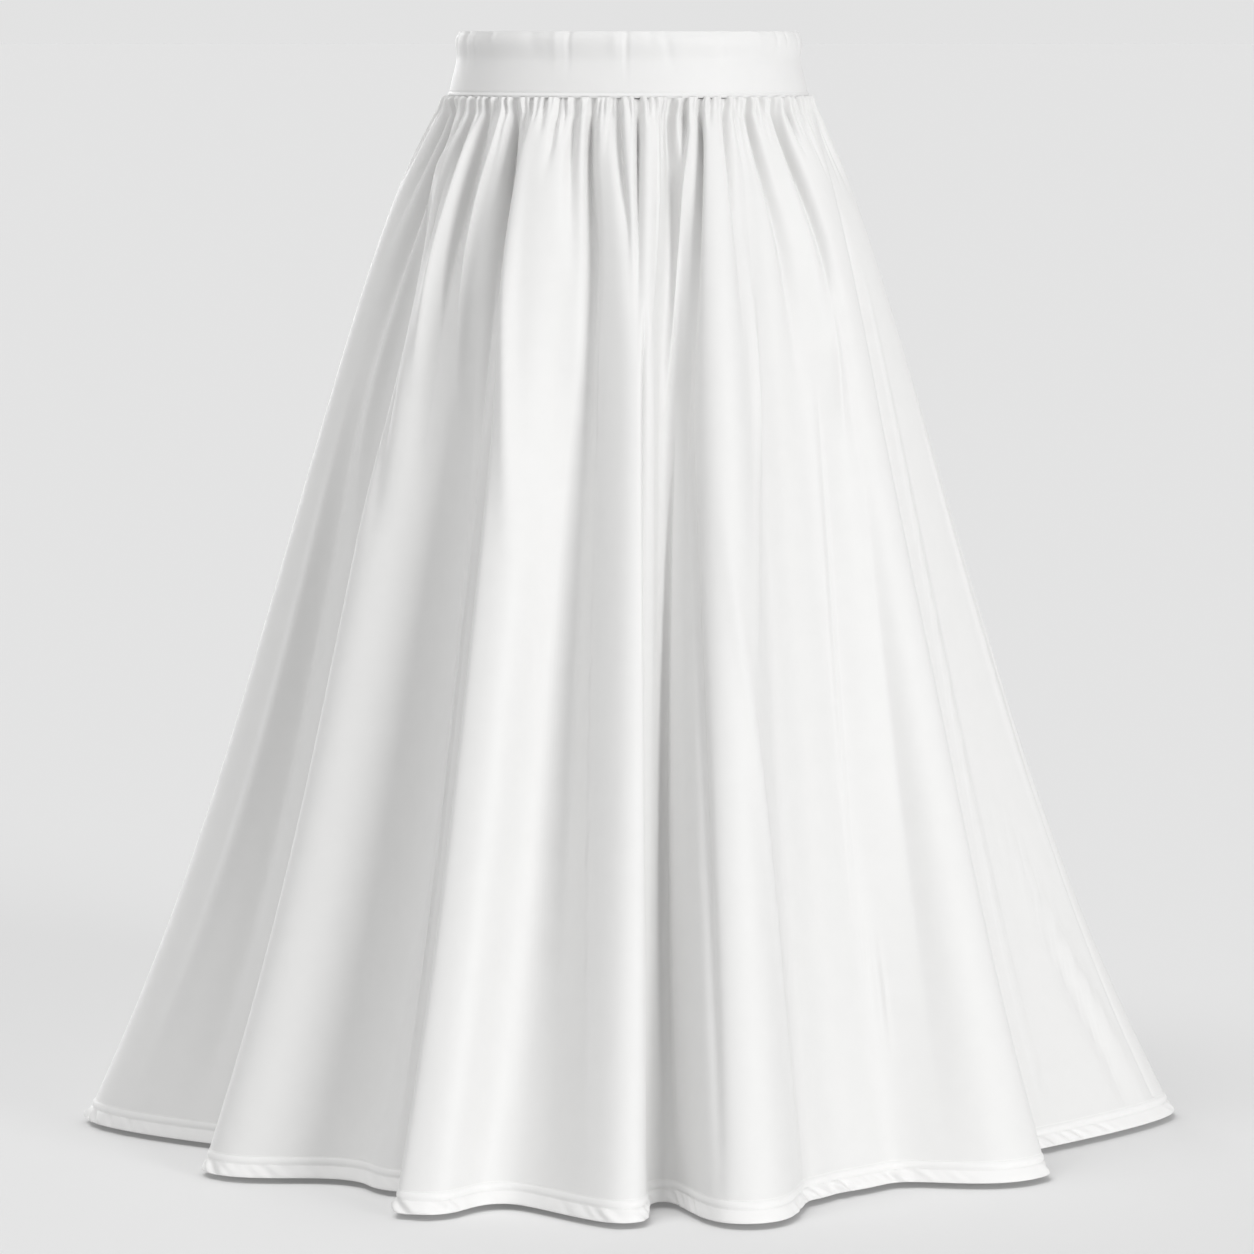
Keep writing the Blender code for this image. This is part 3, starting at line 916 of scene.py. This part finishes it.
@dataclass
class Panel:
    """The front or the back panel, from its tuck in the waist seam to the top of the hem."""

    form: SkirtForm
    side: Side
    hem_depth: float = 0.0185
    wall: float = 0.0008
    columns: int = 640
    bend_weight: float = 0.030
    even_share: float = 1.4
    seam_overlap: float = 0.0006
    first_row: float = 0.0011
    row_growth: float = 1.06
    longest_row: float = 0.0280
    tuck_depth: float = 0.0002
    tuck_height: float = 0.0022
    seam_relief: float = 0.0022
    relief_growth: float = 0.80
    seam_fade: float = 0.014
    near_columns: int = 25
    hem_fade: float = 0.024
    seam_dip: float = 0.0011
    seam_breadth: float = 0.0016
    pucker_margin: float = 2.0
    pucker_step: Span = (1.8, 3.5)
    pucker_depth: Span = (0.0032, 0.0085)
    pucker_length: Span = (0.014, 0.095)
    pucker_lean: Span = (-0.5, 0.5)
    pucker_bend: float = 0.5
    pucker_start: float = 0.6
    pucker_breadth: float = 0.0016

    @property
    def name(self) -> str:
        """The name of this panel's CAD node."""
        return f"{self.side.name.lower()}_panel"

    def bearings(self) -> Array:
        """The bearings of the columns: some evenly at the waist, the rest at the hem's bends.

        Returns:
            Rising bearings, from one side seam to the other.
        """
        places, steps = self.form.hem_steps(self.side)
        headings = np.unwrap(np.arctan2(steps[:, 1], steps[:, 0]))
        bends = np.abs(np.diff(headings, prepend=headings[0]))
        weights = np.hypot(steps[:, 0], steps[:, 1]) + self.bend_weight * bends
        weights = weights / weights.sum() + self.even_share / len(weights)
        return spaced(places, weights, self.columns)

    def drops(self) -> Array:
        """The drops of the rows, closest together at the gathers.

        Returns:
            Rising drops, from the tuck to the top of the hem.
        """
        top = self.form.panel_top - self.seam_overlap
        bottom = self.form.length - self.hem_depth
        steps = [0.0]
        step = self.first_row
        while top + steps[-1] < bottom:
            steps.append(steps[-1] + step)
            step = min(step * self.row_growth, self.longest_row)
        rows = top + np.array(steps)
        return top + (rows - top) * (bottom - top) / (rows[-1] - top)

    def puckers(self) -> list[Crease]:
        """Short fine troughs between the gathers, right under the waist seam.

        Returns:
            The troughs, in order round the waist.
        """
        chance = random.Random(self.name)
        bearing = self.side.value + self.pucker_margin
        made = []
        while bearing < self.side.value + HALF_TURN - self.pucker_margin:
            length = chance.uniform(*self.pucker_length)
            depth = chance.uniform(*self.pucker_depth)
            top = self.form.panel_top - self.pucker_start * length
            low = self.form.panel_top + length
            lean = chance.uniform(*self.pucker_lean)
            line = leaning_line(bearing, lean, self.pucker_bend)
            made.append(Crease(*line, top, low, -depth, self.pucker_breadth, self.pucker_breadth))
            bearing += chance.uniform(*self.pucker_step)
        return made

    def creases(self) -> Sequence[Crease]:
        """The front's creases as they show, or the back's by chance.

        Returns:
            The creases, without the puckers.
        """
        if self.side is Side.FRONT:
            return FRONT_CREASES
        return BackCreases().made(self.side.value, self.form.panel_top)

    def near_mean(self, heights: Array) -> Array:
        """Each height averaged with those of the columns near it.

        Args:
            heights: one height a point, in rows down and columns round.

        Returns:
            As many heights.
        """
        reach = self.near_columns // 2
        padded = np.pad(heights, ((0, 0), (reach + 1, reach)), mode="edge")
        sums = np.cumsum(padded, axis=1)
        return (sums[:, self.near_columns:] - sums[:, :-self.near_columns]) / self.near_columns

    def shape(self) -> ClothGrid:
        """The panel's cloth with its creases and puckers and the pull of its seams.

        Just under the waist seam the heights lose their mean and are held within a limit, so
        that the cloth stays in the seam. They fade out above the hem, and dip at the side seams.

        Returns:
            The grid, with its points moved out.
        """
        grid = ClothGrid(self.form, self.bearings(), self.drops())
        below = (grid.drops - self.form.panel_top)[:, None]
        heights = grid.crease_heights([*self.creases(), *self.puckers()])
        heights -= self.near_mean(heights) * (1 - smooth_step(below / self.seam_fade))
        limit = self.seam_relief + self.relief_growth * np.maximum(below, 0.0)
        heights = limit * np.tanh(heights / limit)
        heights *= smooth_step((grid.drops[-1] - grid.drops) / self.hem_fade)[:, None]
        heights -= self.tuck_depth * (1 - smooth_step(below / self.tuck_height))
        for edge in (grid.along, grid.along[:, -1:] - grid.along):
            heights -= self.seam_dip * bell(edge / self.seam_breadth)
        grid.move_out(heights)
        return grid

    def build(self, wardrobe: Wardrobe) -> Object:
        """The panel as a dressed piece, with its CAD node hidden.

        Args:
            wardrobe: the skirt's materials.

        Returns:
            The finished piece.
        """
        grid = self.shape()
        columns = grid.along.shape[1]
        slant = np.linalg.norm(np.diff(grid.points[:, columns // 2], axis=0), axis=1)
        down = np.concatenate([[0.0], np.cumsum(slant)])
        across = grid.along - grid.along[:, -1:] / 2
        uvs = np.dstack([across, np.tile(-down[:, None], columns)])
        piece = piece_from_grid(f"{self.side.name.lower()}_cloth", grid.points, uvs)
        thickened(piece, self.wall)
        finish_piece(piece, wardrobe.panel)
        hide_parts(self.name)
        return piece


@dataclass
class HemBand:
    """The turned-up hem of one panel: doubled cloth, puffed between two rows of stitches."""

    form: SkirtForm
    side: Side
    depth: float = 0.0185
    upper_row: float = 0.0178
    lower_row: float = 0.0112
    thickness: float = 0.0016
    puff: float = 0.0008
    edge_puff: float = 0.0004
    flare: float = 0.00168
    groove: float = 0.0004
    groove_breadth: float = 0.0007
    top_fade: float = 0.0012
    pucker: float = 0.0007
    pucker_waves: int = 9
    pucker_pitch: Span = (0.011, 0.034)
    pucker_slant: Span = (0.6, 1.6)
    pucker_fullness: float = 0.6
    swell_pitch: float = 0.31
    columns: int = 900
    outer_rows: int = 20
    fold_rows: int = 5

    def bearings(self) -> Array:
        """Bearings evenly spaced along the hem."""
        places, steps = self.form.hem_steps(self.side)
        return spaced(places, np.linalg.norm(steps, axis=1), self.columns)

    def profile(self, above: Array) -> Array:
        """How far the hem's outer face stands out, before its puckers.

        Args:
            above: heights above the hem's edge.

        Returns:
            One distance a height.
        """
        between = (above - self.lower_row) / (self.upper_row - self.lower_row)
        puffed = self.puff * np.sin(math.pi * np.clip(between, 0.0, 1.0))
        part = above / self.lower_row
        flared = self.flare * (1 - smooth_step(part))
        flared += self.edge_puff * np.sin(math.pi * np.clip(part, 0.0, 1.0))
        grooves = sum(
            self.groove * bell((above - row) / self.groove_breadth)
            for row in (self.upper_row, self.lower_row)
        )
        return puffed + flared - grooves

    def puckers(self, along: Array, above: Array) -> Array:
        """Small slanting puckers, as uneven waves between the stitches and the edge.

        Args:
            along: how far each point is along the hem.
            above: how high each point is above the hem's edge.

        Returns:
            How far each point stands out.
        """
        chance = random.Random(f"{self.side.name} hem")
        total = np.zeros(np.broadcast(along, above).shape)
        for _ in range(self.pucker_waves):
            pitch = chance.uniform(*self.pucker_pitch)
            slant = chance.uniform(*self.pucker_slant)
            phase = chance.uniform(0.0, 2 * math.pi)
            total = total + np.sin(2 * math.pi * (along + slant * above) / pitch + phase)
        phase = chance.uniform(*WAVE_PHASES)
        swell = 0.5 + 0.5 * np.sin(2 * math.pi * along / self.swell_pitch + phase)
        part = np.clip(above / self.lower_row, 0.0, 1.0)
        held = np.sin(math.pi * part) ** self.pucker_fullness
        return self.pucker * total * swell * held

    def shape(self) -> tuple[ClothGrid, Array]:
        """The outer face of the hem, and the height of each row above the edge.

        Returns:
            The grid, from the top of the hem down, and its rows' heights.
        """
        above = np.linspace(self.depth, 0.5 * self.thickness, self.outer_rows)
        grid = ClothGrid(self.form, self.bearings(), self.form.length - above)
        heights = self.profile(above)[:, None]
        heights = heights + self.puckers(grid.along[-1][None, :], above[:, None])
        grid.move_out(heights * smooth_step((self.depth - above) / self.top_fade)[:, None])
        return grid, above

    def build(self, wardrobe: Wardrobe) -> Object:
        """The hem as a dressed piece, closed all round its section and at both ends.

        Args:
            wardrobe: the skirt's materials.

        Returns:
            The finished piece.
        """
        grid, above = self.shape()
        outer = grid.points
        inward = -grid.normals()
        inward[:, :, 2] = 0.0
        inward /= np.linalg.norm(inward, axis=2, keepdims=True)
        radius = 0.5 * self.thickness
        turns = np.linspace(0.0, math.pi, self.fold_rows + 2)[1:-1]
        centre = outer[-1] + inward[-1] * radius
        down = np.array([0.0, 0.0, -1.0])
        fold = [
            centre - inward[-1] * radius * math.cos(turn) + down * radius * math.sin(turn)
            for turn in turns
        ]
        inner = outer[::-2] + inward[::-2] * self.thickness
        section = np.concatenate([outer, np.array(fold), inner, outer[:1]])
        lengths = above - above[0]
        lengths = np.concatenate([lengths, np.zeros(len(fold)), -above[::-2], lengths[:1]])
        around = np.tile(grid.along[-1], (len(section), 1))
        uvs = np.dstack([around, np.tile(lengths[:, None], len(grid.bearings))])
        piece = piece_from_grid(f"{self.side.name.lower()}_hem", section, uvs, weld=TINY)
        piece.data.set_sharp_from_angle(angle=math.radians(HEM_RIM_ANGLE))
        finish_piece(piece, wardrobe.hem)
        return piece


@dataclass
class HemStitches:
    """The two rows of stitches that hold one panel's hem."""

    hem: HemBand
    pitch: float = 0.0032
    stitch: float = 0.0026
    look_ahead: float = 0.3
    thread_radius: float = 0.00026
    proud: float = 0.35
    rounds: int = 6
    rings: int = 4

    def _pattern(self) -> bpy.types.Mesh:
        """One stitch, upright at the origin.

        Returns:
            The stitch's mesh.
        """
        one = bmesh.new()
        bmesh.ops.create_uvsphere(one, u_segments=self.rounds, v_segments=self.rings, radius=1.0)
        size = (self.thread_radius, self.thread_radius, 0.5 * self.stitch)
        bmesh.ops.scale(one, vec=size, verts=one.verts)
        return mesh_from(one, "stitch")

    def _places(self) -> Iterator[Matrix]:
        """Where each stitch lies, along both rows.

        Returns:
            One place and turn a stitch, in order.
        """
        grid, above = self.hem.shape()
        normals = grid.normals()
        for height in (self.hem.upper_row, self.hem.lower_row):
            row = int(np.argmin(np.abs(above - height)))
            run = grid.along[row]
            line = grid.points[row]
            for index in range(int(run[-1] / self.pitch)):
                at = (index + 0.5) * self.pitch
                here = read_along(at, run, line)
                ahead = read_along(at + self.look_ahead * self.pitch, run, line)
                along = (ahead - here).normalized()
                out = read_along(at, run, normals[row]).normalized()
                turn = Matrix((out.cross(along), out, along)).transposed().to_4x4()
                yield Matrix.Translation(here + out * self.proud * self.thread_radius) @ turn

    def build(self, wardrobe: Wardrobe) -> Object:
        """Both rows of stitches as one piece.

        Args:
            wardrobe: the skirt's materials.

        Returns:
            The finished piece.
        """
        pattern = self._pattern()
        joined = bmesh.new()
        for place in self._places():
            start = len(joined.verts)
            joined.from_mesh(pattern)
            joined.verts.ensure_lookup_table()
            bmesh.ops.transform(joined, matrix=place, verts=joined.verts[start:])
        bpy.data.meshes.remove(pattern)
        mesh = mesh_from(joined, f"{self.hem.side.name.lower()}_hem_stitches")
        mesh.shade_smooth()
        piece = add_object(mesh.name, mesh)
        finish_piece(piece, wardrobe.thread)
        return piece


@dataclass
class Waistband:
    """The elastic waistband: jersey folded over the elastic and sewn to the gathers."""

    form: SkirtForm
    thickness: float = 0.0026
    top_radius: float = 0.0013
    roll: float = 0.0008
    roll_middle: float = 0.0548
    roll_breadth: float = 0.0009
    groove: float = 0.0004
    groove_drop: float = 0.0525
    groove_breadth: float = 0.0008
    columns: int = 640
    face_end: float = 0.049
    face_rows: int = 30
    seam_start: float = 0.0495
    seam_rows: int = 14
    inner_rows: int = 12
    fold_rows: int = 5
    wrinkle_seed: int = 5
    wrinkle_bearings: Span = (48.0, 316.0)
    wrinkle_step: Span = (5.0, 15.0)
    wrinkle_lean: Span = (-2.0, 2.0)
    wrinkle_top: float = -0.004
    wrinkle_low: Span = (0.014, 0.046)
    wrinkle_height: Span = (0.0008, 0.0017)
    wrinkle_breadth: Span = (0.0016, 0.0042)
    ripple: float = 0.00008
    ripple_waves: int = 7
    ripple_counts: tuple[int, int] = (3, 16)
    ripple_share: float = 2.6
    ripple_end: float = 0.05
    ripple_fade: float = 0.03

    def rings(self, drops: Array, inset: Array) -> Array:
        """Rings of points round the waistband.

        Args:
            drops: the drop of each ring.
            inset: how far each ring, or each point, is in from the outer face.

        Returns:
            Rows down by columns round by x, y and z.
        """
        half_widths = read_sizes(drops, BAND_SECTIONS, 1)[:, None] - inset
        half_depths = read_sizes(drops, BAND_SECTIONS, 2)[:, None] - inset
        angles = np.radians(self._bearings())
        x = half_widths * np.sin(angles)[None, :]
        y = -half_depths * np.cos(angles)[None, :]
        z = np.repeat(-drops[:, None], len(angles), axis=1)
        return np.dstack([x, y, z])

    def _bearings(self) -> Array:
        """The bearings of the columns."""
        return np.linspace(-HALF_TURN, HALF_TURN, self.columns + 1)

    def _wrinkles(self, chance: random.Random) -> list[BandWrinkle]:
        """The wrinkles that show in front, and others by chance on the hidden sides.

        Args:
            chance: what the hidden ones are drawn from.

        Returns:
            The wrinkles, those in front first.
        """
        wrinkles = list(BAND_WRINKLES)
        bearing, end = self.wrinkle_bearings
        while bearing < end:
            low = chance.uniform(*self.wrinkle_low)
            height = chance.choice(CREASE_SIGNS) * chance.uniform(*self.wrinkle_height)
            breadth = chance.uniform(*self.wrinkle_breadth)
            line = (bearing, bearing + chance.uniform(*self.wrinkle_lean))
            wrinkles.append(BandWrinkle(*line, self.wrinkle_top, low, height, breadth))
            bearing += chance.uniform(*self.wrinkle_step)
        return wrinkles

    def relief(self, drops: Array) -> Array:
        """How far the outer face stands out: its seam roll, groove, wrinkles and ripple.

        Args:
            drops: the drop of each row.

        Returns:
            One distance a point, in rows down and columns round.
        """
        bearings = self._bearings()
        total = np.zeros((len(drops), len(bearings)))
        total += self.roll * bell((drops - self.roll_middle) / self.roll_breadth)[:, None]
        total -= self.groove * bell((drops - self.groove_drop) / self.groove_breadth)[:, None]
        metres = math.radians(1.0) * self.form.mean_radius
        chance = random.Random(self.wrinkle_seed)
        for wrinkle in self._wrinkles(chance):
            part = (drops - wrinkle.top_drop) / (wrinkle.low_drop - wrinkle.top_drop)
            fading = np.where((part > 0) & (part < 1), 1 - smooth_step(part), 0.0)
            line = wrinkle.top_bearing + (wrinkle.low_bearing - wrinkle.top_bearing) * part
            apart = (bearings[None, :] - line[:, None] + HALF_TURN) % FULL_TURN - HALF_TURN
            profile = np.exp(-0.5 * (apart * metres / wrinkle.breadth) ** 2)
            total += wrinkle.height * fading[:, None] * profile
        waves = np.zeros(len(bearings))
        for _ in range(self.ripple_waves):
            count = chance.randint(*self.ripple_counts)
            phase = chance.uniform(*WAVE_PHASES)
            waves += np.sin(count * np.radians(bearings) + phase) / self.ripple_share
        fading = smooth_step((self.ripple_end - drops) / self.ripple_fade)
        total += self.ripple * waves[None, :] * fading[:, None]
        return total

    def build(self, wardrobe: Wardrobe) -> Object:
        """The waistband as a dressed piece, with its CAD node hidden.

        Args:
            wardrobe: the skirt's materials.

        Returns:
            The finished piece.
        """
        radius = self.top_radius
        height = self.form.band_height
        drops = np.concatenate([
            np.linspace(radius, self.face_end, self.face_rows),
            np.linspace(self.seam_start, height, self.seam_rows),
        ])
        outer = self.rings(drops, -self.relief(drops))
        turns = np.linspace(0.0, math.pi, self.fold_rows + 2)[1:-1]
        across = 0.5 - 0.5 * np.cos(turns)
        lift = self.relief(np.full(1, radius)) * (1 - across[:, None])
        top = self.rings(np.full(len(turns), radius), self.thickness * across[:, None] - lift)
        top_drops = radius * (1 - np.sin(turns))
        top[:, :, 2] = -top_drops[:, None]
        inner_drops = np.linspace(radius, height, self.inner_rows)
        inner = self.rings(inner_drops, np.full((len(inner_drops), 1), self.thickness))
        section = np.concatenate([inner[::-1], top[::-1], outer, inner[-1:]])
        lengths = np.concatenate([inner_drops[::-1], -top_drops[::-1], -drops, [-height]])
        around = np.linspace(0.0, 2 * math.pi, self.columns + 1) * self.form.mean_radius
        uvs = np.dstack([
            np.tile(around, (len(section), 1)),
            np.tile(lengths[:, None], len(around)),
        ])
        piece = piece_from_grid("waistband_cloth", section, uvs, weld=TINY)
        piece.data.set_sharp_from_angle(angle=math.radians(BAND_RIM_ANGLE))
        finish_piece(piece, wardrobe.band)
        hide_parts("waistband")
        return piece


@dataclass(frozen=True)
class SoftLight:
    """A large far-off light. Tilt is from straight down, turn is round from the front."""

    name: str
    strength: float
    spread: float
    tilt: float
    turn: float

    def place(self) -> None:
        """Put the light in the scene."""
        light = bpy.data.lights.new(self.name, "SUN")
        light.energy = self.strength
        light.angle = math.radians(self.spread)
        thing = add_object(self.name, light)
        thing.rotation_euler = (math.radians(self.tilt), 0.0, math.radians(self.turn))


@dataclass
class Studio:
    """The pale floor, the soft light and the camera."""

    floor_drop: float = 0.9645
    floor_reach: float = 400.0
    floor_colour: Colour = (0.70, 0.70, 0.70)
    floor_roughness: float = 0.9
    floor_glow: float = 0.114
    horizon: float = 0.765
    sky: float = 0.46
    horizon_top: float = 0.06
    sky_bottom: float = 0.25
    camera_distance: float = 4.6
    camera_side: float = -0.0013
    camera_pitch: float = 83.505
    lens: float = 150.3
    sensor: float = 36.0
    lights: tuple[SoftLight, ...] = (
        SoftLight("key_light", 1.96, 22.0, 83.0, 43.0),
        SoftLight("top_light", 1.15, 36.0, 22.0, -60.0),
        SoftLight("back_light", 0.95, 30.0, 80.0, 206.0),
    )

    def build(self) -> None:
        """Set up the whole studio."""
        self._floor()
        for light in self.lights:
            light.place()
        self._world()
        bpy.context.scene.view_settings.view_transform = "Standard"
        self._camera()

    def _world(self) -> None:
        """White light from all round, brightest at the horizon."""
        world = bpy.data.worlds.new("studio")
        world.use_nodes = True
        nodes = world.node_tree.nodes
        links = world.node_tree.links
        direction = nodes.new("ShaderNodeTexCoord")
        height = nodes.new("ShaderNodeSeparateXYZ")
        links.new(direction.outputs["Generated"], height.inputs["Vector"])
        fall = nodes.new("ShaderNodeMapRange")
        fall.inputs["From Min"].default_value = self.horizon_top
        fall.inputs["From Max"].default_value = self.sky_bottom
        fall.inputs["To Min"].default_value = self.horizon
        fall.inputs["To Max"].default_value = self.sky
        links.new(height.outputs["Z"], fall.inputs["Value"])
        links.new(fall.outputs["Result"], nodes["Background"].inputs["Strength"])
        nodes["Background"].inputs["Color"].default_value = WHITE
        bpy.context.scene.world = world

    def _floor(self) -> None:
        """A wide pale floor that isn't part of the skirt."""
        plane = bmesh.new()
        bmesh.ops.create_grid(plane, x_segments=1, y_segments=1, size=self.floor_reach)
        bmesh.ops.translate(plane, vec=(0.0, 0.0, -self.floor_drop), verts=plane.verts)
        floor = add_object("studio_floor", mesh_from(plane, "studio_floor"))
        material = new_material("studio_floor", self.floor_roughness)
        shader = material.node_tree.nodes["Principled BSDF"]
        shader.inputs["Base Color"].default_value = (*self.floor_colour, 1.0)
        shader.inputs["Specular IOR Level"].default_value = 0.0
        shader.inputs["Emission Color"].default_value = WHITE
        shader.inputs["Emission Strength"].default_value = self.floor_glow
        floor.data.materials.append(material)

    def _camera(self) -> None:
        """The camera that sees the skirt as the photograph does."""
        lens = bpy.data.cameras.new("camera")
        lens.lens = self.lens
        lens.sensor_width = self.sensor
        lens.clip_end = 2 * self.floor_reach
        camera = add_object("camera", lens)
        camera.location = (self.camera_side, -self.camera_distance, 0.0)
        camera.rotation_euler = (math.radians(self.camera_pitch), 0.0, 0.0)
        bpy.context.scene.camera = camera


def sheet_area(*pieces: Object) -> float:
    """Half the surface of some closed pieces of cloth, in square metres."""
    return sum(polygon.area for piece in pieces for polygon in piece.data.polygons) / 2


def build_skirt() -> None:
    """Build every piece of the skirt and log how much cloth each panel has."""
    wardrobe = Wardrobe(
        panel=JerseyFinish("panel_jersey", PANEL_COLOUR).material(),
        # The hem's jersey is a lighter copy of the panels' jersey: partly painted light, partly
        # doubled cloth.
        hem=JerseyFinish("hem_jersey", HEM_COLOUR_WITH_PAINTED_LIGHT).material(),
        band=JerseyFinish("waistband_jersey", BAND_COLOUR).material(),
        thread=ThreadFinish().material(),
    )
    form = SkirtForm()
    band = Waistband(form).build(wardrobe)
    for side, cut in ((Side.FRONT, FRONT_CUT), (Side.BACK, BACK_CUT)):
        panel = Panel(form, side).build(wardrobe)
        hem = HemBand(form, side)
        hem_piece = hem.build(wardrobe)
        stitches = HemStitches(hem).build(wardrobe)
        area = sheet_area(panel, hem_piece)
        LOG.info("%s: %.3f square metres of cloth", panel.name, area)


def main() -> None:
    """Build the skirt and its studio."""
    logging.basicConfig(level=logging.INFO, format="%(name)s: %(message)s")
    build_skirt()
    Studio().build()


if __name__ == "__main__":
    main()
